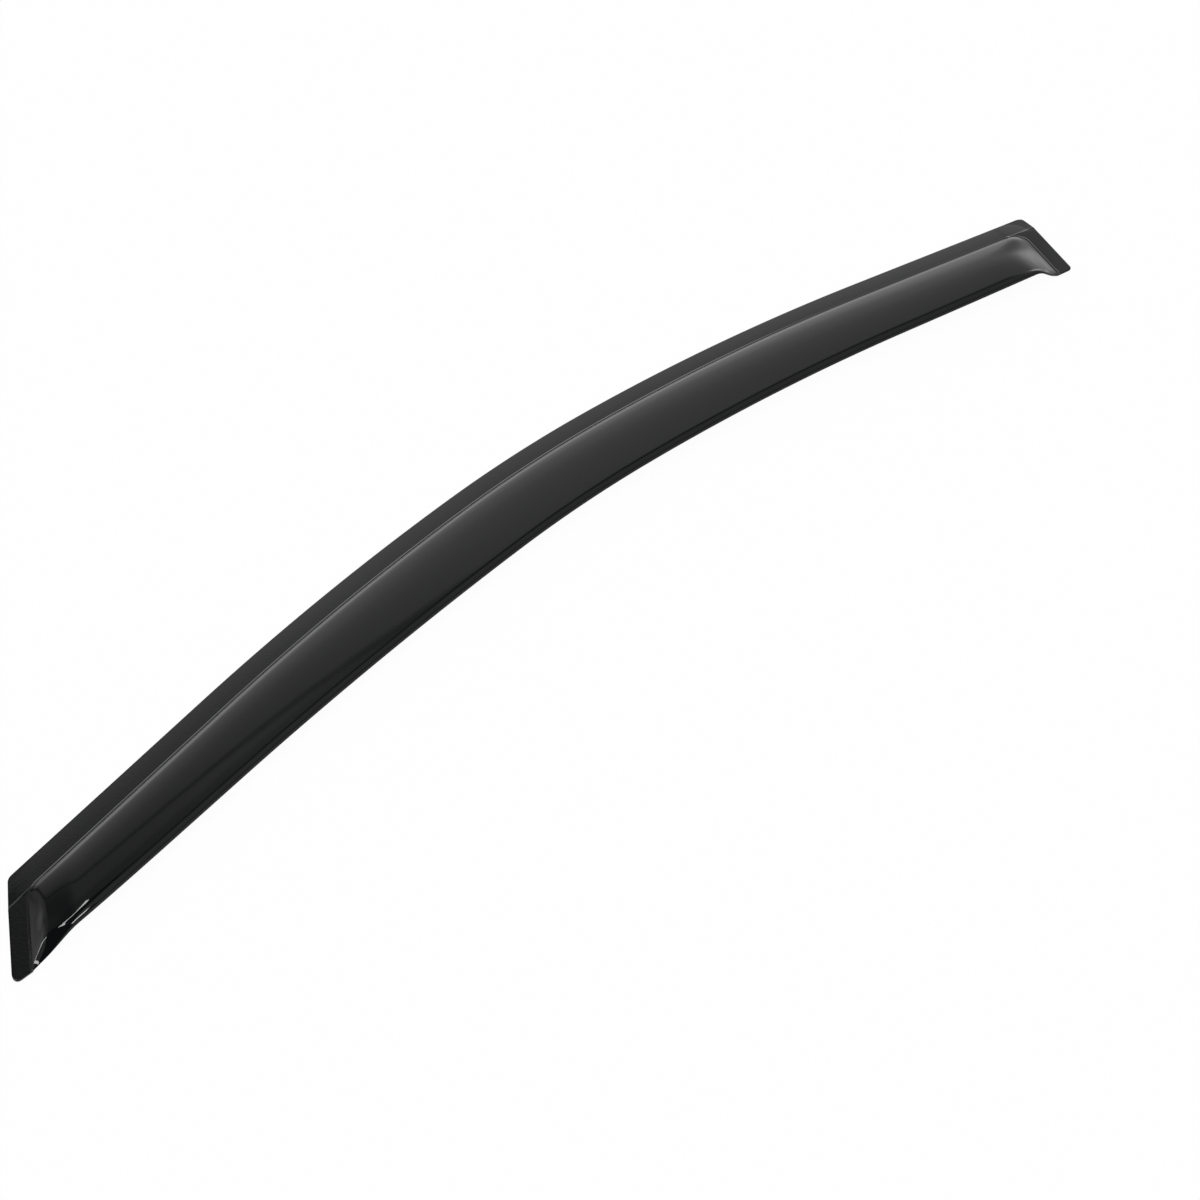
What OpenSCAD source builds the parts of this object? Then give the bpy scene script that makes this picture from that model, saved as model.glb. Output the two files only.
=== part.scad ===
// Window rain deflector for the left front door of a car.
// One thin moulded shell lies outer face up: a mounting band runs along the whole top edge,
// a flat flange closes each end, and between them the shell swells into a hollow bulge whose
// lower lip stays open. Foam tape with a peel-off liner is stuck under the band and both flanges.

/* [Top edge, from the windscreen pillar back] */
// Straight run up the windscreen pillar
front_run = 199; // [180:1:240]
// Length of the first, wide bend
pillar_bend_len = 268; // [200:1:320]
// Radius of the first, wide bend
pillar_bend_r = 2207; // [1600:1:4000]
// Length of the tightest bend, at the corner of the window
corner_bend_len = 141; // [100:1:200]
// Radius of the tightest bend
corner_bend_r = 1084; // [900:1:2000]
// Length of the bend that eases into the roof line
roof_bend_len = 268; // [200:1:320]
// Radius of the bend that eases into the roof line
roof_bend_r = 1718; // [1300:1:4000]
// Straight run along the roof line to the door pillar
rear_run = 170; // [150:1:220]

/* [Outline] */
// Width across the front end, square to the top edge
front_width = 67.5; // [62:0.5:78]
// Width where the deflector is widest
middle_width = 83.5; // [76:0.5:96]
// Distance of the widest place from the front top corner
widest_at = 450; // [300:10:600]
// Width across the rear end
rear_width = 73; // [64:0.5:82]
// Lean of the front end cut, away from square to the top edge
front_cut_angle = 42.5; // [20:0.5:46]
// Lean of the rear end cut, away from square to the top edge
rear_cut_angle = 1.5; // [-8:0.5:15]
// Corner radius at both top corners
top_corner_r = 4.5; // [3:0.5:5]
// Corner radius at the pointed bottom front corner
front_toe_r = 4.5; // [3:0.5:7]
// Corner radius at the bottom rear corner
rear_toe_r = 2.5; // [2:0.5:6]

/* [Mounting band and end flanges] */
// Width of the mounting band at the front
front_band = 21.5; // [19:0.5:25]
// Width of the mounting band at the rear
rear_band = 18; // [17.5:0.5:21]
// Slope of the mounting band, from its outer edge up to the crease
band_angle = 11; // [5:0.5:15]
// Width of the flat flange at each end, square to the end cut
flange_w = 14.5; // [14:0.5:20]

/* [Bulge] */
// Wall thickness of the moulding
wall_t = 2.5; // [2:0.1:3]
// Depth of the bulge over the flanges at the front, at its lower shoulder
front_depth = 12; // [10:0.5:17]
// Depth of the bulge over the flanges at the rear, at its lower shoulder
rear_depth = 14.5; // [12:0.5:20]
// Hollow radius in the crease between band and bulge
crease_r = 3; // [2:0.5:4]
// Steepest slope of the riser beside the crease
riser_angle = 38; // [32:1:46]
// Radius of the riser's rounding into the crown
riser_r = 20; // [12:1:26]
// Slope of the crown where it leaves the riser
crown_angle = 25; // [20:1:28]
// Slope of the crown at the lower shoulder, downwards
shoulder_angle = 10; // [4:1:14]
// Outer radius of the lower lip
lip_r = 5.5; // [4.5:0.5:8]
// Outer radius of the lip where it leaves the front flange
front_lip_r = 10; // [8:0.5:12]
// Slope of the lip at its free edge, downwards
lip_angle = 78; // [65:1:82]
// Straight land at the free edge of the lip
lip_land = 1.5; // [0.5:0.5:3]
// Set-back of the lip's free edge from the bottom line of the flanges
lip_recess = 1.5; // [0:0.5:3]
// Length of the flat sloping wall that closes the front end of the bulge
front_wall_run = 13; // [12:0.5:15]
// Length of the domed wall that closes the rear end of the bulge
rear_wall_run = 30; // [22:0.5:31]
// Share of the bulge's depth that these walls reach by themselves
end_wall_share = 0.8; // [0.6:0.02:0.9]
// Distance from the foot of an end wall to the full depth of the bulge
end_ease_run = 34; // [32:1:40]
// Distance from the foot of the front wall to the full height of the lip's free edge
front_lip_run = 34; // [20:1:40]
// Distance from the foot of the rear wall to the full height of the lip's free edge
rear_lip_run = 22; // [12:1:36]
// Radius in plan of the bulge's foot at its upper front corner
front_foot_r = 4; // [2:0.5:8]
// Radius in plan of the bulge's foot at its upper rear corner
rear_foot_r = 12; // [6:0.5:16]

/* [Tape] */
// Width of the foam tape
tape_w = 10; // [8:0.5:10.5]
// Thickness of the foam tape
tape_t = 1.1; // [0.8:0.1:1.6]
// Thickness of the peel-off liner
liner_t = 0.1; // [0.1:0.05:0.2]
// Inset of the long tape from the top edge
tape_inset = 5; // [5:0.25:5.5]
// Inset of every tape from the end cuts
end_inset = 2; // [2:0.25:3]
// Distance of the end tapes from the crease above them
crease_gap = 3; // [2.5:0.5:6]
// Distance of the end tapes from the bottom edge below them
bottom_gap = 7; // [6.5:0.5:12]

/* [Hidden] */

smoke_black = "#17181a";
foam_grey = "#4a4c4f";
liner_red = "#b3202a";

// Spacing of the cross-sections along the middle of the deflector
section_pitch = 20;
// Distance over which the cross-sections turn from an end cut to square
turn_len = 195;
// Flat kept between the long tape and the crease
crease_flat = 1.2;
// Shares of each end wall's length taken by the rounding at its foot and at its head
front_wall_ease = [0.15, 0.35];
rear_wall_ease = [0.06, 0.88];

function mix(a, b, t) = a + (b - a) * t;
function unit(v) = v / norm(v);
function clamp01(t) = min(1, max(0, t));
function smooth(t) = let (c = clamp01(t)) c * c * (3 - 2 * c);

// The top edge: [length, curvature] of each run, laid tangent to tangent.
TOP_RUNS = [
    [front_run, 0],
    [pillar_bend_len, 1 / pillar_bend_r],
    [corner_bend_len, 1 / corner_bend_r],
    [roof_bend_len, 1 / roof_bend_r],
    [rear_run, 0]
];
top_len = front_run + pillar_bend_len + corner_bend_len + roof_bend_len + rear_run;

// [x, y, heading] after the length l of a run of curvature k that starts at p.
function advance(p, l, k) =
    let (h = p[2] - l * k * 180 / PI)
    k == 0
        ? [p[0] + l * cos(h), p[1] + l * sin(h), h]
        : [p[0] + (sin(p[2]) - sin(h)) / k, p[1] + (cos(h) - cos(p[2])) / k, h];

// [x, y, heading] at the station s, a length along the top edge. Both ends run on straight.
function walk(s, p, i = 0) =
    i == len(TOP_RUNS) - 1 || s <= TOP_RUNS[i][0]
        ? advance(p, s, TOP_RUNS[i][1])
        : walk(s - TOP_RUNS[i][0], advance(p, TOP_RUNS[i][0], TOP_RUNS[i][1]), i + 1);

// The heading at the front lays the chord between the two top corners along X.
far_corner = walk(top_len, [0, 0, 0]);
front_heading = -atan2(far_corner[1], far_corner[0]);

// Point at the station s, the distance d in from the top edge and the height z.
function place(s, d, z) =
    let (e = walk(s, [0, 0, front_heading]))
    [e[0] + d * sin(e[2]), e[1] - d * cos(e[2]), z];

// Sizes that change along the length
function band(s) = mix(front_band, rear_band, s / top_len);
function depth(s) = mix(front_depth, rear_depth, s / top_len);
function width(s) =
    let (end_width = s < widest_at ? front_width : rear_width,
         run = s < widest_at ? widest_at : top_len - widest_at)
    middle_width - (middle_width - end_width) * pow((s - widest_at) / run, 2);

// Heights. The long liner's outer edge and the end liners' lowest corners touch z = 0.
stack_t = wall_t + tape_t + liner_t;
edge_z = stack_t * cos(band_angle) - tape_inset * tan(band_angle);
function crease_z(s) = edge_z + band(s) * tan(band_angle);

// Fall of an end flange for each millimetre below the crease, from its tape's lowest corner at s.
function contact_fall(s) = (crease_z(s) - stack_t) / (width(s) - bottom_gap - band(s));
tape_end = end_inset + tape_w;
front_fall = contact_fall(tape_end / cos(front_cut_angle));
rear_fall = contact_fall(top_len - tape_end / cos(rear_cut_angle));

// Length of each end where the sections stay parallel to the cut, along the top edge
front_hold = (flange_w + end_ease_run) / cos(front_cut_angle);
rear_hold = (flange_w + end_ease_run) / cos(rear_cut_angle);
function fall(s) =
    mix(front_fall, rear_fall, smooth((s - front_hold) / (top_len - front_hold - rear_hold)));

// Mounting surface without the bulge: the band rises to the crease, the flange falls from it.
function mounting_z(s, d) =
    d <= band(s) ? edge_z + d * tan(band_angle) : crease_z(s) - fall(s) * (d - band(s));

// Rise of an end wall over its length: rounded at the foot and at the head, straight between.
function wall_rise(t, ease) =
    let (foot = ease[0], head = ease[1], k = 2 / (2 - foot - head))
    t <= 0 ? 0 :
    t < foot ? k * t * t / (2 * foot) :
    t < 1 - head ? k * (t - foot / 2) :
    t < 1 ? 1 - k * (1 - t) * (1 - t) / (2 * head) :
    1;
// Share of the bulge's depth at the distance x in from the foot of an end wall. Down the lip it
// eases over lip_run instead: the share at_lip is 0 at the shoulder and 1 at the free edge.
function end_swell(x, wall_run, wall_ease, lip_run, at_lip) =
    mix(mix(smooth(x / end_ease_run), wall_rise(x / wall_run, wall_ease), end_wall_share),
        smooth(x / lip_run), at_lip);
// Set-back of the foot at the distance y below the crease, which rounds its corner in plan
function foot_setback(y, r) = y >= r ? 0 : r - sqrt(r * r - (r - y) * (r - y));
function swell(s, y, at_lip) =
    let (front_x = s * cos(front_cut_angle) - flange_w - foot_setback(y, front_foot_r),
         rear_x = (top_len - s) * cos(rear_cut_angle) - flange_w - foot_setback(y, rear_foot_r))
    end_swell(front_x, front_wall_run, front_wall_ease, front_lip_run, at_lip)
    * end_swell(rear_x, rear_wall_run, rear_wall_ease, rear_lip_run, at_lip);

// Steps from the start of an arc of radius r whose slope turns from the angle a to the angle b
function arc_steps(r, a, b, n) =
    [for (i = [1:n]) let (t = mix(a, b, i / n)) r * [abs(sin(t) - sin(a)), abs(cos(t) - cos(a))]];

// Point at the share u of a cubic from p to q that starts with the slope m and ends with n.
function cubic(p, q, m, n, u) =
    let (run = q[0] - p[0])
    [mix(p[0], q[0], u),
     mix(p[1], q[1], smooth(u)) + run * u * (1 - u) * (m * (1 - u) - n * u)];

band_rows = [0, 0.4, 1.5, 3.1, tape_inset, tape_inset + tape_w];
tape_rows = [len(band_rows) - 2, len(band_rows) - 1];
crown_shares = [0.1, 0.23, 0.37, 0.52, 0.67, 0.81, 0.92, 1];
lip_steps = 5;

// Outer face at the station s as [distance from the top edge, height] from edge to lip.
function section(s) =
    let (
        round_r = mix(front_lip_r, lip_r,
                      smooth((s * cos(front_cut_angle) - flange_w) / front_lip_run)),
        crease = [band(s), crease_z(s)],
        hollow = [for (p = arc_steps(crease_r, band_angle, riser_angle, 2)) crease + p],
        riser = [for (p = arc_steps(riser_r, riser_angle, crown_angle, 2)) hollow[1] + p],
        land = lip_land * [cos(lip_angle), -sin(lip_angle)],
        lip_run = round_r * (sin(lip_angle) - sin(shoulder_angle)),
        free_d = width(s) - lip_recess * swell(s, width(s), 1),
        shoulder_d = free_d - land[0] - lip_run,
        shoulder = [shoulder_d, mounting_z(s, shoulder_d) + depth(s)],
        crown = [for (u = crown_shares)
            cubic(riser[1], shoulder, tan(crown_angle), -tan(shoulder_angle), u)],
        lip = [for (p = arc_steps(round_r, shoulder_angle, lip_angle, lip_steps))
            shoulder + [p[0], -p[1]]],
        bulge = concat(hollow, riser, crown, lip, [lip[lip_steps - 1] + land])
    )
    concat(
        [for (d = concat(band_rows, [band(s) - crease_flat, band(s)])) [d, mounting_z(s, d)]],
        [for (p = bulge)
            let (at_lip = clamp01((p[0] - shoulder_d) / (free_d - shoulder_d)))
            [p[0], mix(mounting_z(s, p[0]), p[1], swell(s, p[0] - band(s), at_lip))]]
    );

// Stations of the cross-sections over an end, by the distance in from its cut
function end_steps(wall_run, ease) = concat(
    [0, end_inset, tape_end],
    [for (f = [0, 0.5, 1]) flange_w + wall_run * ease[0] * f],
    [for (f = [0.5, 1]) flange_w + wall_run * mix(ease[0], 1 - ease[1], f)],
    [for (f = [0.25, 0.5, 0.75, 1]) flange_w + wall_run * mix(1 - ease[1], 1, f)],
    [for (f = [0.5, 1]) flange_w + mix(wall_run, end_ease_run, f)]
);
front_steps = end_steps(front_wall_run, front_wall_ease);
rear_steps = end_steps(rear_wall_run, rear_wall_ease);
front_stations = [for (x = front_steps) x / cos(front_cut_angle)];
rear_stations = [for (i = [len(rear_steps) - 1:-1:0]) top_len - rear_steps[i] / cos(rear_cut_angle)];
middle_count = ceil((top_len - front_hold - rear_hold) / section_pitch);
middle_stations = [for (i = [1:middle_count - 1])
    mix(front_hold, top_len - rear_hold, i / middle_count)];
stations = concat(front_stations, middle_stations, rear_stations);
last_i = len(stations) - 1;
last_j = len(section(0)) - 1;

// Shift along the top edge that slants a section as its end cut leans. It fades inwards.
function slant(s, d) =
    d * tan(rear_cut_angle) * (1 - smooth((top_len - s - rear_hold) / (turn_len - rear_hold)))
    - d * tan(front_cut_angle) * (1 - smooth((s - front_hold) / (turn_len - front_hold)));

// Shift that rounds an outline corner of radius r and inner angle a, at the distance x from it
function corner_shift(x, r, a) =
    x >= r * (1 + cos(a)) ? 0 : r / tan(a / 2) - x / tan(a) - sqrt(max(0, r * r - (r - x) * (r - x)));
front_taper = atan(2 * (middle_width - front_width) / widest_at);
rear_taper = atan(2 * (middle_width - rear_width) / (top_len - widest_at));
function rounding(s, d) =
    let (front_fade = clamp01(1 - s * cos(front_cut_angle) / flange_w),
         rear_fade = clamp01(1 - (top_len - s) * cos(rear_cut_angle) / flange_w),
         up = width(s) - d)
    front_fade * (corner_shift(d, top_corner_r, 90 + front_cut_angle)
                  + corner_shift(up, front_toe_r, 90 - front_cut_angle + front_taper))
    - rear_fade * (corner_shift(d, top_corner_r, 90 + rear_cut_angle)
                   + corner_shift(up, rear_toe_r, 90 - rear_cut_angle + rear_taper));

outer_face = [for (s = stations)
    [for (p = section(s)) place(s + slant(s, p[0]) + rounding(s, p[0]), p[0], p[1])]];

// The deflector's plan centre, which becomes the origin
plan_x = [for (row = outer_face) for (p = row) p[0]];
plan_y = [for (row = outer_face) for (p = row) p[1]];
centre = [min(plan_x) + max(plan_x), min(plan_y) + max(plan_y), 0] / 2;

// Directions out of the outer face at its grid points
function through(a, b, c) =
    unit((a == b ? [0, 0, 0] : unit(b - a)) + (b == c ? [0, 0, 0] : unit(c - b)));
function outward(i, j) =
    let (p = outer_face[i][j])
    unit(cross(
        through(outer_face[i][max(0, j - 1)], p, outer_face[i][min(last_j, j + 1)]),
        through(outer_face[max(0, i - 1)][j], p, outer_face[min(last_i, i + 1)][j])
    ));
raw_normals = [for (i = [0:last_i]) [for (j = [0:last_j]) outward(i, j)]];
// Over the bulge each direction is the mean of its neighbours', so that the inner face stays
// clear of itself behind the tight corners of the end walls.
foot_i = 3;
riser_j = len(band_rows) + 3;
normals = [for (i = [0:last_i]) [for (j = [0:last_j])
    i <= foot_i || i >= last_i - foot_i || j <= riser_j
        ? raw_normals[i][j]
        : let (near = [for (a = [i - 1:i + 1]) for (b = [j - 1:min(last_j, j + 1)]) raw_normals[a][b]])
          unit([for (n = near) 1] * near)]];

// Grid points at the depth deep under the outer face
function under(rows_i, rows_j, deep) =
    [for (i = rows_i) [for (j = rows_j) outer_face[i][j] - deep * normals[i][j] - centre]];

// Solid layer between two depths under the outer face
module layer(rows_i, rows_j, from, to) {
    upper = under(rows_i, rows_j, from);
    lower = under(rows_i, rows_j, to);
    ni = len(upper);
    nj = len(upper[0]);
    low = ni * nj;
    rim = concat(
        [for (i = [0:ni - 1]) i * nj],
        [for (j = [1:nj - 1]) (ni - 1) * nj + j],
        [for (i = [ni - 2:-1:0]) i * nj + nj - 1],
        [for (j = [nj - 2:-1:1]) j]
    );
    cells = [for (i = [0:ni - 2]) for (j = [0:nj - 2]) i * nj + j];
    faces = concat(
        [for (a = cells) for (f = [[a, a + nj, a + nj + 1], [a, a + nj + 1, a + 1]]) f],
        [for (a = cells) for (f = [[a, a + nj + 1, a + nj], [a, a + 1, a + nj + 1]])
            f + low * [1, 1, 1]],
        [for (k = [0:len(rim) - 1])
            let (a = rim[k], b = rim[(k + 1) % len(rim)])
            for (f = [[a, a + low, b + low], [a, b + low, b]]) f]
    );
    points = concat([for (row = upper) for (p = row) p], [for (row = lower) for (p = row) p]);
    polyhedron(points, faces);
}

// Flat strip between two depths under an end flange. It lies along the cut, from below the
// crease to above the bottom edge. Its long sides lie on the stations s_a and s_b.
module end_strip(s_a, s_b, from, to) {
    corners = [for (c = [[s_a, false], [s_a, true], [s_b, true], [s_b, false]])
        let (s = c[0], d = c[1] ? width(s) - bottom_gap : band(s) + crease_gap)
        place(s + slant(s, d), d, mounting_z(s, d)) - centre];
    x_dir = unit(corners[1] - corners[0]);
    z_dir = unit(cross(x_dir, corners[3] - corners[0]));
    y_dir = cross(z_dir, x_dir);
    outline = [for (p = corners) [(p - corners[0]) * x_dir, (p - corners[0]) * y_dir]];
    multmatrix([for (r = [0:2]) [x_dir[r], y_dir[r], z_dir[r], corners[0][r]]])
        translate([0, 0, -to])
            linear_extrude(to - from)
                polygon(outline);
}
module front_strip(from, to) {
    end_strip(stations[1], stations[2], from, to);
}
module rear_strip(from, to) {
    end_strip(stations[last_i - 2], stations[last_i - 1], from, to);
}

tape_foot = wall_t + tape_t;
module deflector_shell() {
    color(smoke_black) layer([0:last_i], [0:last_j], 0, wall_t);
}
module top_tape() {
    color(foam_grey) layer([1:last_i - 1], tape_rows, wall_t, tape_foot);
}
module front_end_tape() {
    color(foam_grey) front_strip(wall_t, tape_foot);
}
module rear_end_tape() {
    color(foam_grey) rear_strip(wall_t, tape_foot);
}
module top_tape_liner() {
    color(liner_red) layer([1:last_i - 1], tape_rows, tape_foot, stack_t);
}
module front_end_tape_liner() {
    color(liner_red) front_strip(tape_foot, stack_t);
}
module rear_end_tape_liner() {
    color(liner_red) rear_strip(tape_foot, stack_t);
}

deflector_shell();
top_tape();
front_end_tape();
rear_end_tape();
top_tape_liner();
front_end_tape_liner();
rear_end_tape_liner();
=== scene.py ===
import math

import bmesh
import bpy
from mathutils import Matrix, Vector


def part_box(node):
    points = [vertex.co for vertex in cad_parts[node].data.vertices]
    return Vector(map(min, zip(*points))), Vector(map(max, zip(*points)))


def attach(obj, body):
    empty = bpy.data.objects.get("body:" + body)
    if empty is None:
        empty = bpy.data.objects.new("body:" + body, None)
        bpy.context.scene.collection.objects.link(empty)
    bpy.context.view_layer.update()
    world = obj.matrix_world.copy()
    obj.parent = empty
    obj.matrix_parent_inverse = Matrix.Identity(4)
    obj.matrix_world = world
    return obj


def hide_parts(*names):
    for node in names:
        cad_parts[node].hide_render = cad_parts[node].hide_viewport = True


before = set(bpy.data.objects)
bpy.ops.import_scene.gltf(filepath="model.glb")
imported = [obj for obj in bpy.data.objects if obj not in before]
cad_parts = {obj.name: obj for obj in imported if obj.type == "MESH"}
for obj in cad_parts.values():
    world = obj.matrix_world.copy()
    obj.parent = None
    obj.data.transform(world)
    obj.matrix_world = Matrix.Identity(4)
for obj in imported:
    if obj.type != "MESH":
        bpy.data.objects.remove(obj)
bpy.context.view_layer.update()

# ---- The shell
# One thin wall of dark smoke acrylic, injection moulded, lying outer face up. A flat band along
# the top edge and a flange at each end are taped to the door frame; between them the wall swells
# into a hollow bulge whose lower lip stays open for the air of a window that is left ajar.

MM = 0.001  # every size below is in millimetres and becomes metres only when a vertex is placed
WALL = 2.5
TOP_RUNS = [(199, 0), (268, 2207), (141, 1084), (268, 1718), (170, 0)]  # length, radius
TOP_LENGTH = sum(run for run, radius in TOP_RUNS)
FRONT_WIDTH, MIDDLE_WIDTH, REAR_WIDTH, WIDEST_AT = 67.5, 83.5, 73, 450
FRONT_CUT, REAR_CUT = math.radians(42.5), math.radians(1.5)  # the end cuts' turn from square
TOP_CORNER, FRONT_TOE, REAR_TOE = 4.5, 4.5, 2.5
FRONT_BAND, REAR_BAND, BAND_SLOPE = 21.5, 18, math.radians(11)
FLANGE = 14.5
FRONT_DEPTH, REAR_DEPTH = 12, 14.5
CREASE_RADIUS, RISER_RADIUS, REAR_RISER_RADIUS = 3, 20, 18
LIP_RADIUS, FRONT_LIP_RADIUS = 5.5, 10
RISER_SLOPE, REAR_RISER_SLOPE, CROWN_SLOPE = (math.radians(turn) for turn in (38, 37, 25))
SHOULDER_SLOPE, LIP_SLOPE = math.radians(10), math.radians(78)
LIP_LAND, LIP_RECESS = 1.5, 1.5  # straight land at the free edge, and how far that is drawn in
EASE_RUN = 34  # from an end wall's foot to the full depth of the bulge
# Each end wall: its length, its share of the depth, the shares of its length that its roundings
# take at the foot and at the head, and the share of its length that is left at the crease
FRONT_WALL = (13, 0.8, 0.04, 0.35, 0.5)
REAR_WALL = (46, 1, 0.02, 0.95, 0.25)
LOW_WIDTH = 24  # an end wall has its full length from this far below the crease
TOE_LIP = 0.35  # share of the lip's radius that is left at the front toe
FRONT_LIP_RUN, REAR_LIP_RUN = 34, 22  # from an end wall's foot to the full height of the lip
FRONT_FOOT, REAR_FOOT = 4, 12  # radii, in plan, of the corners between the crease and the feet
TURN = 195  # the sections turn from an end cut to square over this length
TAPE, TAPE_THICK, FILM, TAPE_INSET, END_INSET, BOTTOM_GAP = 10, 1.1, 0.1, 5, 2, 7


def mix(a, b, t):
    return a + (b - a) * t


def smooth(t):
    t = min(1, max(0, t))
    return t * t * (3 - 2 * t)


def advance(x, y, heading, run, radius):
    """The point and heading after one run of the top edge, straight where the radius is 0."""
    if not radius:
        return x + run * math.cos(heading), y + run * math.sin(heading), heading
    turned = heading - run / radius
    return (x + radius * (math.sin(heading) - math.sin(turned)),
            y + radius * (math.cos(turned) - math.cos(heading)), turned)


def walk(s, heading):
    """The point and heading at the length s along the top edge; both ends run on straight."""
    spot = (0, 0, heading)
    for run, radius in TOP_RUNS[:-1]:
        if s <= run:
            return advance(*spot, s, radius)
        spot = advance(*spot, run, radius)
        s -= run
    return advance(*spot, s, 0)


end_x, end_y, _ = walk(TOP_LENGTH, 0)
FRONT_HEADING = -math.atan2(end_y, end_x)


def place(s, d, z):
    """The point at the length s along the top edge, d in from it and z up, in millimetres."""
    x, y, heading = walk(s, FRONT_HEADING)
    return Vector((x + d * math.sin(heading), y - d * math.cos(heading), z))


def band(s):
    return mix(FRONT_BAND, REAR_BAND, s / TOP_LENGTH)


def width(s):
    at_end, run = FRONT_WIDTH, WIDEST_AT
    if s >= WIDEST_AT:
        at_end, run = REAR_WIDTH, TOP_LENGTH - WIDEST_AT
    return MIDDLE_WIDTH - (MIDDLE_WIDTH - at_end) * ((s - WIDEST_AT) / run) ** 2


STACK = WALL + TAPE_THICK + FILM
EDGE_Z = STACK * math.cos(BAND_SLOPE) - TAPE_INSET * math.tan(BAND_SLOPE)  # outer face, top edge
# from each end, how far the sections keep the slant of its cut and the fall of its flange
FRONT_HOLD = (FLANGE + EASE_RUN) / math.cos(FRONT_CUT)
REAR_HOLD = (FLANGE + EASE_RUN) / math.cos(REAR_CUT)


def crease_z(s):
    return EDGE_Z + band(s) * math.tan(BAND_SLOPE)


def contact_fall(s):
    """Fall of a flange that lets the lowest corner of its tape at s touch the floor."""
    return (crease_z(s) - STACK) / (width(s) - BOTTOM_GAP - band(s))


FRONT_FALL = contact_fall((END_INSET + TAPE) / math.cos(FRONT_CUT))
REAR_FALL = contact_fall(TOP_LENGTH - (END_INSET + TAPE) / math.cos(REAR_CUT))


def mounting_z(s, d):
    """Height without the bulge: the band rises to the crease and the flange falls from it."""
    if d <= band(s):
        return EDGE_Z + d * math.tan(BAND_SLOPE)
    along = smooth((s - FRONT_HOLD) / (TOP_LENGTH - FRONT_HOLD - REAR_HOLD))
    return crease_z(s) - mix(FRONT_FALL, REAR_FALL, along) * (d - band(s))


def wall_rise(t, foot, head):
    """Rise of an end wall over its length: rounded at the foot and the head, straight between."""
    k = 1 / (1 - foot / 2 - head / 2)
    if t <= 0 or t >= 1:
        return 0 if t <= 0 else 1
    if t < foot:
        return k * t * t / (2 * foot)
    return k * (t - foot / 2) if t < 1 - head else 1 - k * (1 - t) ** 2 / (2 * head)


def end_swell(x, y, wall, lip_run, at_lip):
    """Swell at x in from an end's foot, y below the crease; the wall is shorter where it is low."""
    run, share, foot, head, at_crease = wall
    low = mix(at_crease, 1, smooth(y / LOW_WIDTH))
    crown = mix(smooth(x / EASE_RUN), wall_rise(x / (run * low), foot, head), share)
    return mix(crown, smooth(x / lip_run), at_lip)


def setback(y, r):
    """How far a rounded corner of radius r sets an end's foot back, y below the crease."""
    return 0 if y >= r else r - math.sqrt(r * r - (r - y) ** 2)


def swell(s, y, at_lip):
    """Share of the bulge that stands at s, y below the crease: 0 on a flange, 1 in the middle."""
    front = s * math.cos(FRONT_CUT) - FLANGE - setback(y, FRONT_FOOT)
    rear = (TOP_LENGTH - s) * math.cos(REAR_CUT) - FLANGE - setback(y, REAR_FOOT)
    return (end_swell(front, y, FRONT_WALL, FRONT_LIP_RUN, at_lip)
            * end_swell(rear, y, REAR_WALL, REAR_LIP_RUN, at_lip))


REAR_RIDGE = 0.2  # share of the foot's ridge that is left along the rear of the crease
RIDGE_FADES = (650, 250)  # where along the top edge it fades to that, and over what length
END_RIDGE = (4, 6)  # the full ridge is back from this far before an end's foot, over this length


def off_foot(s, d):
    """For the relief at s and d: the distance out from the foot of the bulge, the distance out
    from the crease, the distance past the ends of the bulge, the distance towards the edge over
    the band and the rear flange, which droop a little, and the share of the foot's ridge."""
    out = band(s) - d
    front = FLANGE + setback(max(0, -out), FRONT_FOOT) - s * math.cos(FRONT_CUT)
    rear = FLANGE + setback(max(0, -out), REAR_FOOT) - (TOP_LENGTH - s) * math.cos(REAR_CUT)
    past = max(front, rear)
    foot = math.hypot(max(out, 0), max(past, 0)) if max(out, past) > 0 else max(out, past)
    along = mix(1, REAR_RIDGE, smooth((s - RIDGE_FADES[0]) / RIDGE_FADES[1]))
    share = mix(along, 1, smooth((past + END_RIDGE[0]) / END_RIDGE[1]))
    return foot, out, past, 0 if front > 0 > out else max(0, foot), share


# Rows of the mesh: on the band from the edge in, on the band up from the crease, and on the
# crown as shares of its width; then the steps of the three arcs
BAND_ROWS = [0, 1.4, 3.1, 5.5, 8.5, 12, 14.5]
CREASE_ROWS = [2.6, 1.6, 0.8, 0]
CROWN_ROWS = [0.05, 0.1, 0.16, 0.23, 0.3, 0.37, 0.45, 0.52,
              0.6, 0.67, 0.74, 0.81, 0.87, 0.92, 0.96, 1]
HOLLOW_STEPS, RISER_STEPS, LIP_STEPS = 4, 4, 10
EVEN_LIP = 6  # past an end's foot the rows of the lip even out over this length


def arc(start, r, a, b, steps, down=False):
    """Points of an arc whose slope turns from a to b, going up, or down along the lip."""
    turn = [mix(a, b, (i + 1) / steps) for i in range(steps)]
    sign = -1 if down else 1
    return [(start[0] + r * abs(math.sin(t) - math.sin(a)),
             start[1] + sign * r * abs(math.cos(t) - math.cos(a))) for t in turn]


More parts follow.
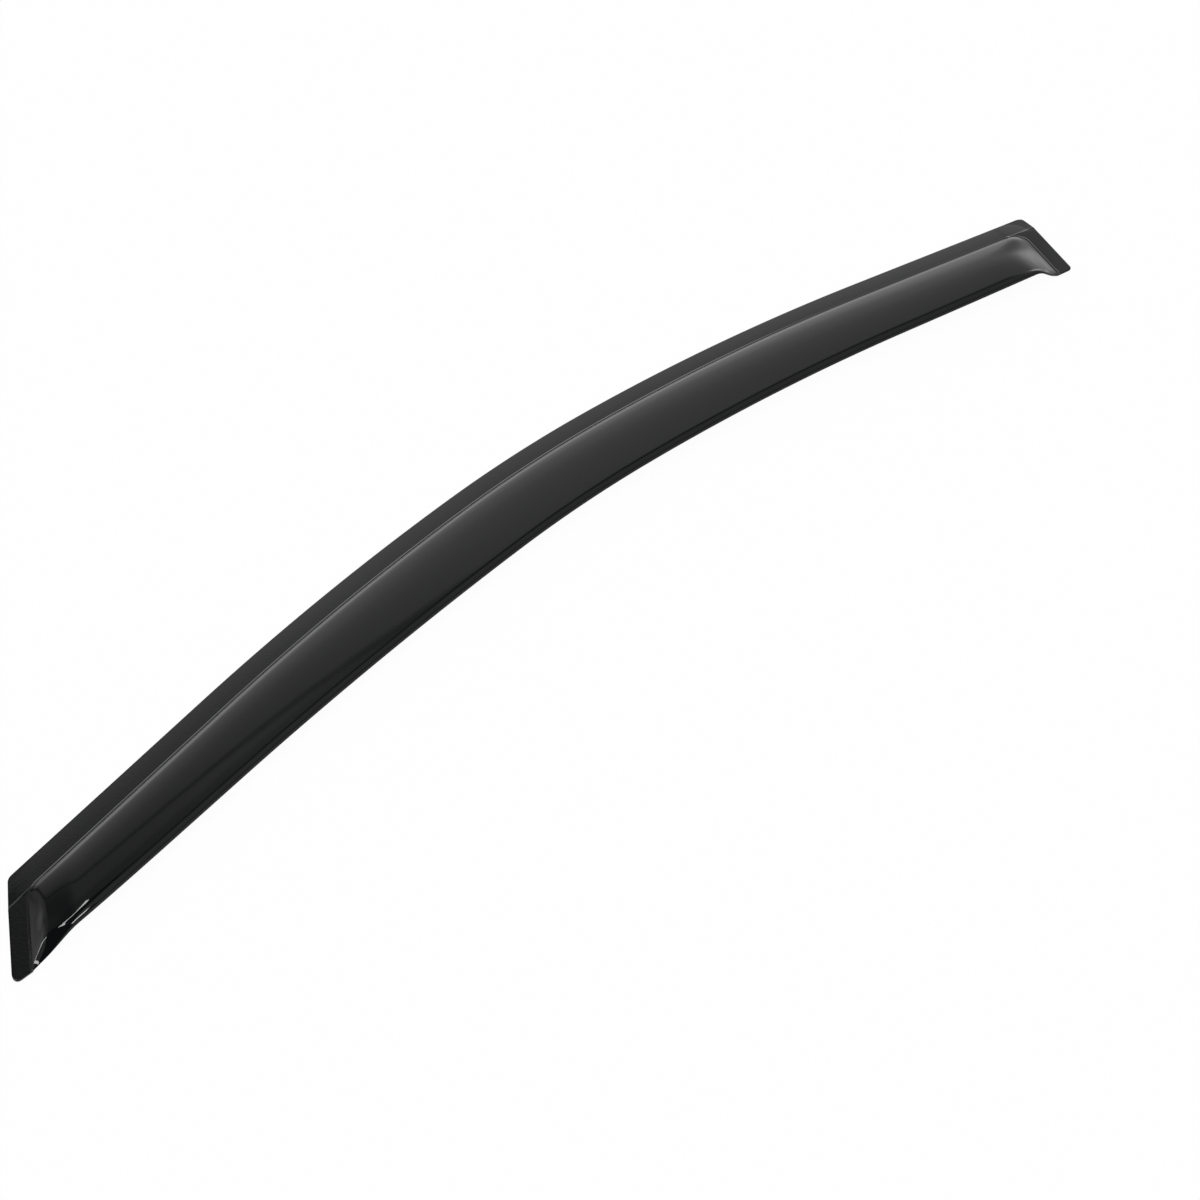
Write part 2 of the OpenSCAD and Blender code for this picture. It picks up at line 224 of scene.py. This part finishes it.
def section(s):
    """The outer face across the shell at s, from the top edge to the lip, as (d, z) points."""
    flat = [(d, mounting_z(s, d)) for d in BAND_ROWS + [band(s) - up for up in CREASE_ROWS]]
    steep = mix(RISER_SLOPE, REAR_RISER_SLOPE, smooth(s / TOP_LENGTH))
    hollow = arc(flat[-1], CREASE_RADIUS, BAND_SLOPE, steep, HOLLOW_STEPS)
    riser_radius = mix(RISER_RADIUS, REAR_RISER_RADIUS, smooth(s / TOP_LENGTH))
    riser = arc(hollow[-1], riser_radius, steep, CROWN_SLOPE, RISER_STEPS)
    land = (LIP_LAND * math.cos(LIP_SLOPE), -LIP_LAND * math.sin(LIP_SLOPE))
    free_d = width(s) - LIP_RECESS * swell(s, width(s), 1)
    past_foot = s * math.cos(FRONT_CUT) - FLANGE
    lip_radius = mix(FRONT_LIP_RADIUS, LIP_RADIUS, smooth(past_foot / FRONT_LIP_RUN))
    lip_radius *= mix(TOE_LIP, 1, wall_rise(past_foot / FRONT_WALL[0], *FRONT_WALL[2:4]))
    shoulder_d = free_d - land[0] - lip_radius * (math.sin(LIP_SLOPE) - math.sin(SHOULDER_SLOPE))
    depth = mix(FRONT_DEPTH, REAR_DEPTH, s / TOP_LENGTH)
    shoulder = (shoulder_d, mounting_z(s, shoulder_d) + depth)
    start, run = riser[-1], shoulder_d - riser[-1][0]
    crown = [(mix(start[0], shoulder[0], u),
              mix(start[1], shoulder[1], smooth(u))
              + run * u * (1 - u) * (math.tan(CROWN_SLOPE) * (1 - u) + math.tan(SHOULDER_SLOPE) * u))
             for u in CROWN_ROWS]
    lip = arc(shoulder, lip_radius, SHOULDER_SLOPE, LIP_SLOPE, LIP_STEPS, down=True)
    lip.append((lip[-1][0] + land[0], lip[-1][1] + land[1]))
    # the rows of the lip are spaced evenly on a flange, where they have no lip to follow
    before_rear = (TOP_LENGTH - s) * math.cos(REAR_CUT) - FLANGE
    even = smooth(-min(past_foot, before_rear) / EVEN_LIP)
    lip = [(mix(d, mix(shoulder_d, free_d, (k + 1) / len(lip)), even), z)
           for k, (d, z) in enumerate(lip)]
    swollen = []
    for d, z in hollow + riser + crown + lip:
        at_lip = min(1, max(0, (d - shoulder_d) / (free_d - shoulder_d)))
        swollen.append((d, mix(mounting_z(s, d), z, swell(s, d - band(s), at_lip))))
    return flat + swollen


def corner_shift(x, r, a):
    """Shift that rounds an outline corner of radius r and inner angle a at the distance x."""
    if x >= r * (1 + math.cos(a)):
        return 0
    return r / math.tan(a / 2) - x / math.tan(a) - math.sqrt(max(0, r * r - (r - x) ** 2))


FRONT_TAPER = math.atan(2 * (MIDDLE_WIDTH - FRONT_WIDTH) / WIDEST_AT)
REAR_TAPER = math.atan(2 * (MIDDLE_WIDTH - REAR_WIDTH) / (TOP_LENGTH - WIDEST_AT))


def slant(s, d):
    """Shift along the top edge that turns the sections to the end cuts."""
    return (d * math.tan(REAR_CUT) * (1 - smooth((TOP_LENGTH - s - REAR_HOLD) / (TURN - REAR_HOLD)))
            - d * math.tan(FRONT_CUT) * (1 - smooth((s - FRONT_HOLD) / (TURN - FRONT_HOLD))))


def shift(s, d):
    """Shift along the top edge that slants the sections and rounds the corners of the outline."""
    at_front = min(1, max(0, 1 - s * math.cos(FRONT_CUT) / FLANGE))
    at_rear = min(1, max(0, 1 - (TOP_LENGTH - s) * math.cos(REAR_CUT) / FLANGE))
    up, square = width(s) - d, math.pi / 2
    return (slant(s, d)
            + at_front * (corner_shift(d, TOP_CORNER, square + FRONT_CUT)
                          + corner_shift(up, FRONT_TOE, square - FRONT_CUT + FRONT_TAPER))
            - at_rear * (corner_shift(d, TOP_CORNER, square + REAR_CUT)
                         + corner_shift(up, REAR_TOE, square - REAR_CUT + REAR_TAPER)))


# Stations of the sections: close together over the flanges and end walls, 9 mm apart between.
FLANGE_STATIONS = [0, 1.5, 3.2, 5.6, 8.4, 11.4, 13.2, FLANGE]
FOOT_STEPS, STRAIGHT_STEPS, HEAD_STEPS, EASE_STEPS = 3, 4, 5, 8  # over an end wall, and past it
BETWEEN = 104


def steps_to(start, stop, count):
    """Evenly spaced values from start, which is left out, to stop."""
    return [mix(start, stop, (i + 1) / count) for i in range(count)]


def end_stations(wall):
    """Distances of the stations in from an end cut, to where the wall and the crown are full."""
    run, _, foot, head, _ = wall
    foot_end, head_start = FLANGE + run * foot, FLANGE + run * (1 - head)
    steps = FLANGE_STATIONS + steps_to(FLANGE, foot_end, FOOT_STEPS)
    if run > EASE_RUN:
        the_rest = STRAIGHT_STEPS + HEAD_STEPS + EASE_STEPS
        return steps + steps_to(foot_end, FLANGE + EASE_RUN, the_rest)
    return (steps + steps_to(foot_end, head_start, STRAIGHT_STEPS)
            + steps_to(head_start, FLANGE + run, HEAD_STEPS)
            + steps_to(FLANGE + run, FLANGE + EASE_RUN, EASE_STEPS))


stations = [x / math.cos(FRONT_CUT) for x in end_stations(FRONT_WALL)]
stations += steps_to(FRONT_HOLD, TOP_LENGTH - REAR_HOLD, BETWEEN)[:-1]
stations += [TOP_LENGTH - x / math.cos(REAR_CUT) for x in reversed(end_stations(REAR_WALL))]
rows = len(section(0))

shell_mesh = bmesh.new()
bmesh.ops.create_grid(shell_mesh, x_segments=len(stations) - 1, y_segments=rows - 1, size=0.5)
spot = shell_mesh.verts.layers.int.new("spot")
relief_layers = [shell_mesh.verts.layers.float.new(name)
                 for name in ("off_bulge", "off_crease", "past_end", "to_edge", "ridge")]
sections = [section(s) for s in stations]
for v in shell_mesh.verts:
    i = round((v.co.x + 0.5) * (len(stations) - 1))
    j = round((v.co.y + 0.5) * (rows - 1))
    s, (d, z) = stations[i], sections[i][j]
    v[spot] = i * rows + j
    for layer, value in zip(relief_layers, off_foot(s, d)):
        v[layer] = value
    v.co = place(s + shift(s, d), d, z)
lo = [min(v.co[k] for v in shell_mesh.verts) for k in range(2)]
hi = [max(v.co[k] for v in shell_mesh.verts) for k in range(2)]
node_lo, node_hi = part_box("deflector_shell")
CENTRE = Vector(((lo[0] + hi[0]) / 2, (lo[1] + hi[1]) / 2, 0))
HOME = Vector(((node_lo.x + node_hi.x) / 2, (node_lo.y + node_hi.y) / 2, 0))
for v in shell_mesh.verts:
    v.co = (v.co - CENTRE) * MM + HOME
bmesh.ops.recalc_face_normals(shell_mesh, faces=shell_mesh.faces)
if sum(f.normal.z for f in shell_mesh.faces) < 0:
    bmesh.ops.reverse_faces(shell_mesh, faces=shell_mesh.faces)
shell_mesh.normal_update()

# The inner face follows the outer one at the wall's thickness. Over the bulge its directions are
# evened out with their neighbours', so that it stays clear of itself behind the tight corners.
inward = {v[spot]: v.normal.copy() for v in shell_mesh.verts}
near = {v[spot]: [e.other_vert(v)[spot] for e in v.link_edges] for v in shell_mesh.verts}
riser_row = len(BAND_ROWS) + len(CREASE_ROWS) + 1
flange_end = len(FLANGE_STATIONS)
over_bulge = [i * rows + j for i in range(flange_end, len(stations) - flange_end)
              for j in range(riser_row, rows)]
EVENING_PASSES = 10
for _ in range(EVENING_PASSES):
    evened = {k: (inward[k] + sum((inward[n] for n in near[k]), Vector())).normalized()
              for k in over_bulge}
    inward.update(evened)
NO_RELIEF = (9, 9, 0, 0, 1)  # the inner face is far from every line of the relief
walls = bmesh.ops.extrude_face_region(shell_mesh, geom=shell_mesh.faces[:], use_keep_orig=True)
for v in walls["geom"]:
    if isinstance(v, bmesh.types.BMVert):
        v.co -= inward[v[spot]] * WALL * MM
        for layer, value in zip(relief_layers, NO_RELIEF):
            v[layer] = value
bmesh.ops.recalc_face_normals(shell_mesh, faces=shell_mesh.faces)

# The rim is trimmed after moulding and its two edges are broken with a small radius.
RIM_BREAK, SHARP = 0.42, math.radians(60)
last = len(stations) - 1


def on_border(v):
    i, j = divmod(v[spot], rows)
    return i in (0, last) or j in (0, rows - 1)


rim_edges = [e for e in shell_mesh.edges
             if all(on_border(v) for v in e.verts) and e.verts[0][spot] != e.verts[1][spot]
             and e.calc_face_angle(0) > SHARP]
bmesh.ops.bevel(shell_mesh, geom=rim_edges, offset=RIM_BREAK * MM, offset_type="OFFSET",
                segments=2, profile=0.5, affect="EDGES", clamp_overlap=False, material=-1)
for f in shell_mesh.faces:
    f.smooth = True
shell_data = bpy.data.meshes.new("smoke_shell")
shell_mesh.to_mesh(shell_data)
shell_mesh.free()
shell = bpy.data.objects.new("smoke_shell", shell_data)
bpy.context.scene.collection.objects.link(shell)
rounded = shell.modifiers.new("rounded", "SUBSURF")
rounded.levels = rounded.render_levels = 1


def linear(hex_colour):
    """An sRGB hex colour as Blender's linear RGBA."""
    parts = [int(hex_colour[k:k + 2], 16) / 255 for k in (1, 3, 5)]
    return [c / 12.92 if c <= 0.04045 else ((c + 0.055) / 1.055) ** 2.4 for c in parts] + [1]


def node(tree, kind, inputs=None, **settings):
    """Adds a node with its settings; each input is a value or another node's output socket."""
    made = tree.nodes.new(kind)
    for name, value in settings.items():
        setattr(made, name, value)
    for socket, value in (inputs or {}).items():
        if isinstance(value, bpy.types.NodeSocket):
            tree.links.new(value, made.inputs[socket])
        else:
            made.inputs[socket].default_value = value
    return made


def start(block):
    """Empties a new material or world and gives its tree, for nodes to be added."""
    block.use_nodes = True
    block.node_tree.nodes.clear()
    return block.node_tree


def blend(share, a, b, blend_type="MIX"):
    """A colour between a and b by share, or another mixture of the two."""
    return node(tree, "ShaderNodeMix", {0: share, 6: a, 7: b}, data_type="RGBA",
                blend_type=blend_type).outputs[2]


# Smoke acrylic (PMMA), moulded in a polished tool: black in the mass, with a wet, even gloss
# that only ripples a little where the melt froze in the tool. The mesh stores the distances that
# place its lines.
smoke = bpy.data.materials.new("smoke_acrylic_moulded")
tree = start(smoke)
at = node(tree, "ShaderNodeTexCoord").outputs["Object"]


def noise(pitch, detail, roughness=0.5, distortion=0.0):
    """Noise over the piece, whose lumps are about a pitch in millimetres apart."""
    lumps = {"Vector": at, "Scale": 1 / (pitch * MM), "Detail": detail, "Roughness": roughness,
             "Distortion": distortion}
    return node(tree, "ShaderNodeTexNoise", lumps).outputs["Fac"]


def bump(height, distance, strength=1.0, **normal):
    """Relief of a height from 0 to 1 over a distance in millimetres."""
    return node(tree, "ShaderNodeBump", {"Height": height, "Strength": strength,
                                         "Distance": distance * MM, **normal}).outputs["Normal"]


def between(value, low, high, to_low=0.0, to_high=1.0, **settings):
    """A value turned from the range low to high into another range."""
    return node(tree, "ShaderNodeMapRange", {"Value": value, "From Min": low, "From Max": high,
                                             "To Min": to_low, "To Max": to_high},
                **settings).outputs["Result"]


def stored(name, low, high):
    """A distance that the mesh stores, from 0 at low to 1 at high, both in millimetres."""
    return between(node(tree, "ShaderNodeAttribute", attribute_name=name).outputs["Fac"], low, high)


def by_stops(value, low, high, stops, interpolation):
    """Height or brightness by value: a curve through pairs of a value, low to high, and a level."""
    made = node(tree, "ShaderNodeValToRGB", {"Fac": value})
    made.color_ramp.interpolation = interpolation
    elements = made.color_ramp.elements
    while len(elements) < len(stops):
        elements.new(0.5)
    for element, (at_value, level) in zip(elements, stops):
        element.position = (at_value - low) / (high - low)
        element.color = (level, level, level, 1)
    return made.outputs["Color"]


def maths(operation, *values):
    return node(tree, "ShaderNodeMath", dict(enumerate(values)), operation=operation).outputs["Value"]


def relief(distance, stops):
    """Height in millimetres by a stored distance in millimetres."""
    nearest, farthest = -1.0, 4.0
    return by_stops(stored(distance, nearest, farthest), nearest, farthest, stops, "EASE")


# a slow ripple over the whole length, and a fine orange peel that is weaker on the bulge
ripple = bump(noise(62.5, 1.0, 0.4), 0.6, 0.12)
peel_share = between(stored("off_bulge", 0.0, 3.0), 0.0, 1.0, to_low=0.12)
peel = bump(noise(2.381, 2.0, 0.5), 0.05, peel_share, Normal=ripple)
# a low ridge along the foot of the bulge, a soft line in the crease past the ends of the bulge,
# and a slight droop of the band and the rear flange towards their edges
foot_ridge = relief("off_bulge", [(-0.5, 0.3), (0.15, 0.07), (1.05, 0.68), (2.2, 0.3)])
foot_line = maths("MULTIPLY", foot_ridge, stored("ridge", 0.0, 1.0))
crease_line = maths("MULTIPLY", relief("off_crease", [(-0.9, 0.0), (0.3, 0.2), (1.5, 0.0)]),
                    stored("past_end", -0.4, 0.4))
DROOP = -1.1
droop = maths("POWER", stored("to_edge", 2.0, 20.0), 2.0)
drawn = maths("MULTIPLY_ADD", droop, DROOP, maths("ADD", foot_line, crease_line))
lines = bump(drawn, 1.0, Normal=peel)
# handling leaves the gloss a little uneven
gloss = between(noise(41.67, 4.0, 0.62), 0.35, 0.75, to_low=0.035, to_high=0.075)
acrylic = node(tree, "ShaderNodeBsdfPrincipled", {
    "Base Color": linear("#0d0e0f"), "Roughness": gloss, "IOR": 1.49, "Normal": lines})
node(tree, "ShaderNodeOutputMaterial", {"Surface": acrylic.outputs["BSDF"]})
shell.data.materials.append(smoke)
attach(shell, "root")
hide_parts("deflector_shell")

# ---- The foam tapes and their liners
# Closed-cell acrylic foam tape, slit from the roll and pressed on under the band and both end
# flanges, to hold the shell to the door. The red film over each tape is peeled off at fitting.

CREASE_GAP = 3


def beneath(s, d, depth):
    """The point at a depth under the outer face where the shell is mounted, in the frame."""
    here, along, down = [place(a + slant(a, b), b, mounting_z(a, b))
                         for a, b in ((s, d), (s + 1, d), (s, d + 1))]
    out = (down - here).cross(along - here).normalized()
    return (here - out * depth - CENTRE) * MM + HOME


def strip(name, span, rows_at, depths, steps, broken):
    """A thin strip from one station to another; rows_at gives its two sides at a station."""
    made = bmesh.new()
    bmesh.ops.create_grid(made, x_segments=steps[0], y_segments=steps[1], size=0.5)
    layer = made.verts.layers.int.new("spot")
    spots = []
    for v in made.verts:
        s = mix(*span, v.co.x + 0.5)
        v[layer] = len(spots)
        spots.append((s, mix(*rows_at(s), 0.5 - v.co.y)))
        v.co = beneath(*spots[-1], depths[0])
    lower = bmesh.ops.extrude_face_region(made, geom=made.faces[:], use_keep_orig=True)
    for v in lower["geom"]:
        if isinstance(v, bmesh.types.BMVert):
            v.co = beneath(*spots[v[layer]], depths[1])
    bmesh.ops.recalc_face_normals(made, faces=made.faces)
    corners = [e for e in made.edges if e.calc_face_angle(0) > SHARP]
    bmesh.ops.bevel(made, geom=corners, offset=broken * MM, offset_type="OFFSET", segments=2,
                    profile=0.5, affect="EDGES", clamp_overlap=True, material=-1)
    for f in made.faces:
        f.smooth = True
    data = bpy.data.meshes.new(name)
    made.to_mesh(data)
    made.free()
    piece = bpy.data.objects.new(name, data)
    bpy.context.scene.collection.objects.link(piece)
    return piece


# Acrylic foam, slit: matt dark grey, with the fine cells of the foam in its skin and its sides.
FOAM_CELL = 0.625
foam = bpy.data.materials.new("acrylic_foam_slit")
tree = start(foam)
at = node(tree, "ShaderNodeTexCoord").outputs["Object"]
cells = node(tree, "ShaderNodeTexVoronoi", {"Vector": at, "Scale": 1 / (FOAM_CELL * MM)})
tint = blend(noise(16.667, 3.0), linear("#26272a"), linear("#3b3c3f"))
foam_skin = node(tree, "ShaderNodeBsdfPrincipled", {
    "Base Color": tint, "Roughness": 0.88, "IOR": 1.45,
    "Normal": bump(cells.outputs["Distance"], 0.12, 0.5)})
node(tree, "ShaderNodeOutputMaterial", {"Surface": foam_skin.outputs["BSDF"]})

# Polyester film, cast and dyed red: a soft sheen, with slack ripples across the tape where the
# roll was wound.
film = bpy.data.materials.new("polyester_film_red")
tree = start(film)
at = node(tree, "ShaderNodeTexCoord").outputs["Object"]
slack = noise(11.111, 2.0, distortion=0.6)
dye = noise(71.43, 3.0)
film_skin = node(tree, "ShaderNodeBsdfPrincipled", {
    "Base Color": blend(dye, linear("#a3161f"), linear("#c02a34")),
    "Roughness": between(slack, 0.0, 1.0, to_low=0.22, to_high=0.42), "IOR": 1.6,
    "Normal": bump(slack, 0.4, 0.35)})
node(tree, "ShaderNodeOutputMaterial", {"Surface": film_skin.outputs["BSDF"]})


def along_band(s):
    return TAPE_INSET, TAPE_INSET + TAPE


def down_flange(s):
    return band(s) + CREASE_GAP, width(s) - BOTTOM_GAP


FOAM_BREAK, FILM_BREAK = 0.15, 0.03
TOP_STEPS, END_STEPS = (210, 4), (4, 14)  # faces along the top edge and down across it
front_span = [x / math.cos(FRONT_CUT) for x in (END_INSET, END_INSET + TAPE)]
rear_span = [TOP_LENGTH - x / math.cos(REAR_CUT) for x in (END_INSET + TAPE, END_INSET)]
for where, span, rows_at, steps in (("top", (front_span[0], rear_span[1]), along_band, TOP_STEPS),
                                    ("front_end", front_span, down_flange, END_STEPS),
                                    ("rear_end", rear_span, down_flange, END_STEPS)):
    glued, peeled = (WALL, WALL + TAPE_THICK), (WALL + TAPE_THICK, STACK)
    foam_piece = strip("foam_" + where, span, rows_at, glued, steps, FOAM_BREAK)
    film_piece = strip("film_" + where, span, rows_at, peeled, steps, FILM_BREAK)
    for piece, finish, stands_for, slot in ((foam_piece, foam, "_tape", "foam_tape"),
                                            (film_piece, film, "_tape_liner", "liner_film")):
        piece.data.materials.append(finish)
        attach(piece, "root")
        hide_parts(where + stands_for)

# ---- The floor
# A plain white sheet that runs out of sight on every side. The camera sees it as white, with a
# share of the light that really falls on it, so that a faint shadow stays under the part.

FLOOR_HALF_M = 6
PAPER_WHITE = 0.96  # share of plain white in what the camera sees of the floor
floor_mesh = bmesh.new()
bmesh.ops.create_grid(floor_mesh, x_segments=1, y_segments=1, size=FLOOR_HALF_M)
floor_data = bpy.data.meshes.new("floor")
floor_mesh.to_mesh(floor_data)
floor_mesh.free()
floor = bpy.data.objects.new("floor", floor_data)
bpy.context.scene.collection.objects.link(floor)
floor.visible_glossy = False  # the gloss sees the lower half of the tent instead
paper = bpy.data.materials.new("white_paper")
tree = start(paper)


def seen_directly():
    """1 for what the camera sees itself, also through glass, and 0 for all other light."""
    path = node(tree, "ShaderNodeLightPath").outputs
    return maths("MAXIMUM", path["Is Camera Ray"], path["Is Transmission Ray"])


matt = node(tree, "ShaderNodeBsdfDiffuse", {"Color": linear("#f4f4f4")})
white = node(tree, "ShaderNodeEmission", {"Color": linear("#ffffff"), "Strength": 1.0})
mixed = node(tree, "ShaderNodeMixShader", {"Fac": maths("MULTIPLY", seen_directly(), PAPER_WHITE),
                                           1: matt.outputs["BSDF"], 2: white.outputs["Emission"]})
node(tree, "ShaderNodeOutputMaterial", {"Surface": mixed.outputs["Shader"]})
floor.data.materials.append(paper)

# ---- The light
# A light tent round the part. Its back wall is white and glows most near the floor, its ceiling
# is open and dark, and the side where the camera stands is grey, with a dark gap over the table.
# The gloss of the acrylic mirrors it all; matt surfaces get an even white light.

world = bpy.data.worlds.new("light_tent")
bpy.context.scene.world = world
tree = start(world)
towards = node(tree, "ShaderNodeTexCoord").outputs["Generated"]
WHITE = linear("#ffffff")


def across(direction, low, high):
    """How far a direction of the tent points along another, from 0 at low to 1 at high."""
    along = node(tree, "ShaderNodeVectorMath", {0: towards, 1: Vector(direction).normalized()},
                 operation="DOT_PRODUCT")
    return between(along.outputs["Value"], low, high)


def cloth(direction, stops, low=-1, high=1):
    """Brightness of the tent, by how far it lies along a direction."""
    return by_stops(across(direction, low, high), low, high, stops, "LINEAR")


UP = (0, 0, 1)
back_wall = cloth(UP, [
    (-0.3, 1.2), (-0.05, 1.25), (0.0, 1.15), (0.1, 1.0), (0.2, 0.78), (0.35, 0.73),
    (0.5, 0.67), (0.862, 0.67), (0.875, 0.58), (0.885, 0.5), (0.9, 0.42), (1.0, 0.4)])
# the seam between two cloths of the back wall, a thin dark line over the crown of the bulge
seam = cloth((0.8735, 0.186, -0.450), [(-0.022, 1.0), (-0.009, 0.5), (0.001, 0.5), (0.014, 1.0)],
             low=-0.5, high=0.5)
over_crown = blend(across((1, 0, 0), 0.0, 0.06), WHITE, seam)
# from its slanting left edge, past the front pillar's side and a dark fold, the back wall comes up
# to full brightness, and it has a brighter strip at its right end
left_to_right = cloth((0.961, 0.019, -0.277), [
    (-0.5, 0.75), (-0.45, 0.6), (-0.42, 0.42), (-0.39, 0.32), (-0.36, 0.42), (-0.3, 0.45),
    (-0.24, 0.44), (-0.17, 0.27), (-0.13, 0.14), (-0.08, 0.14), (-0.04, 0.27), (-0.015, 0.4),
    (0.03, 0.5), (0.08, 0.68), (0.2, 1.0), (0.35, 1.0), (0.6, 0.97), (0.69, 0.92), (0.72, 1.0),
    (0.755, 1.15), (0.8, 1.5), (0.86, 1.6), (0.885, 1.35), (0.91, 1.1), (0.95, 1.1)])
back = blend(1.0, blend(1.0, back_wall, over_crown, "MULTIPLY"), left_to_right, "MULTIPLY")
grey_side = cloth(UP, [(-0.5, 0.48), (-0.12, 0.42), (-0.05, 0.32), (0.0, 0.15), (0.12, 0.15),
                       (0.22, 0.36), (0.6, 0.42), (0.9, 0.36), (1.0, 0.3)])
to_back = between(across((0.656, 0.755, 0), 0, 0.36), 0, 1, interpolation_type="SMOOTHSTEP")
around = blend(to_back, grey_side, back)
# a dark gap overhead, between the ceiling cloth and the grey side
gap = cloth((0, 1, 0), [(-0.22, 1.0), (-0.08, 0.3), (0.14, 0.25), (0.24, 1.0)])
mirrored = blend(across(UP, 0.74, 0.84), around, blend(1.0, around, gap, "MULTIPLY"))
in_gloss = node(tree, "ShaderNodeLightPath").outputs["Is Glossy Ray"]
tent = blend(seen_directly(), blend(in_gloss, WHITE, mirrored), WHITE)
lit = node(tree, "ShaderNodeBackground", {"Color": tent, "Strength": 1.0})
node(tree, "ShaderNodeOutputWorld", {"Surface": lit.outputs["Background"]})

# ---- The small lamps
# Two thin bent tubes and one small panel, close over the front end under a black hood. They draw
# the three bright streaks at the nose of the bulge, and only the gloss of the part sees them.

LAMP_HEIGHT, LAMP_STRENGTH = 0.08, 11.0  # all lengths and places of this section are in metres


def unseen(thing, material):
    """Adds a lamp or a card of the tent that only mirrored rays meet."""
    thing.materials.append(material)
    added = bpy.data.objects.new(thing.name, thing)
    bpy.context.scene.collection.objects.link(added)
    added.visible_camera = added.visible_transmission = False
    added.visible_diffuse = added.visible_shadow = False


def card(name, size, middle, turn=0, axis="Z"):
    """A flat card of a width and length, turned in degrees about an axis through its middle."""
    stretched = Matrix.Diagonal((*size, 1, 1))
    turned = Matrix.Rotation(math.radians(turn), 4, axis)
    made = bmesh.new()
    bmesh.ops.create_grid(made, x_segments=1, y_segments=1, size=0.5,
                          matrix=Matrix.Translation(middle) @ turned @ stretched)
    data = bpy.data.meshes.new(name)
    made.to_mesh(data)
    made.free()
    return data


def bent_tube(name, radius, points):
    """A tube of a radius that lies level at the lamps' height, bent through points."""
    data = bpy.data.curves.new(name, "CURVE")
    data.dimensions = "3D"
    data.bevel_depth = radius
    line = data.splines.new("POLY")
    line.points.add(len(points) - 1)
    for point, (x, y) in zip(line.points, points):
        point.co = (x, y, LAMP_HEIGHT, 1)
    return data


black = bpy.data.materials.new("black_card")
tree = start(black)
card_matt = node(tree, "ShaderNodeBsdfDiffuse", {"Color": linear("#050505")})
node(tree, "ShaderNodeOutputMaterial", {"Surface": card_matt.outputs["BSDF"]})
glow = bpy.data.materials.new("lamp_glow")
tree = start(glow)
shining = node(tree, "ShaderNodeEmission", {"Color": WHITE, "Strength": LAMP_STRENGTH})
node(tree, "ShaderNodeOutputMaterial", {"Surface": shining.outputs["Emission"]})

unseen(card("hood_top", (0.2, 0.46), (-0.42, -0.2, 0.37)), black)
unseen(card("hood_front", (0.24, 0.37), (-0.40, -0.43, 0.185), 90, "X"), black)
unseen(card("lamp_low", (0.047, 0.114), (-0.4159, -0.2256, LAMP_HEIGHT), 20.4), glow)
unseen(bent_tube("lamp_high", 0.0022, [
    (-0.4477, -0.0428), (-0.4579, -0.0488), (-0.4656, -0.0552), (-0.472, -0.0637),
    (-0.4776, -0.0722), (-0.4806, -0.0808), (-0.4836, -0.0915), (-0.4853, -0.1043)]), glow)
unseen(bent_tube("lamp_left", 0.0045, [
    (-0.512, -0.115), (-0.5348, -0.089), (-0.5714, -0.0368), (-0.62, 0.045)]), glow)

# ---- The camera
# A short telephoto lens from the front pillar's side, 50 degrees above the floor.

camera_data = bpy.data.cameras.new("camera")
camera_data.lens = 85
camera_data.sensor_width = 36
camera = bpy.data.objects.new("camera", camera_data)
bpy.context.scene.collection.objects.link(camera)
aim = Vector((-12.47, -80.86, 0)) * MM
camera.location = Vector((-926.5, -1121.3, 1650.5)) * MM
camera.rotation_mode = "QUATERNION"
camera.rotation_quaternion = (aim - camera.location).to_track_quat("-Z", "Y")
bpy.context.scene.camera = camera
bpy.context.scene.view_settings.view_transform = "Standard"
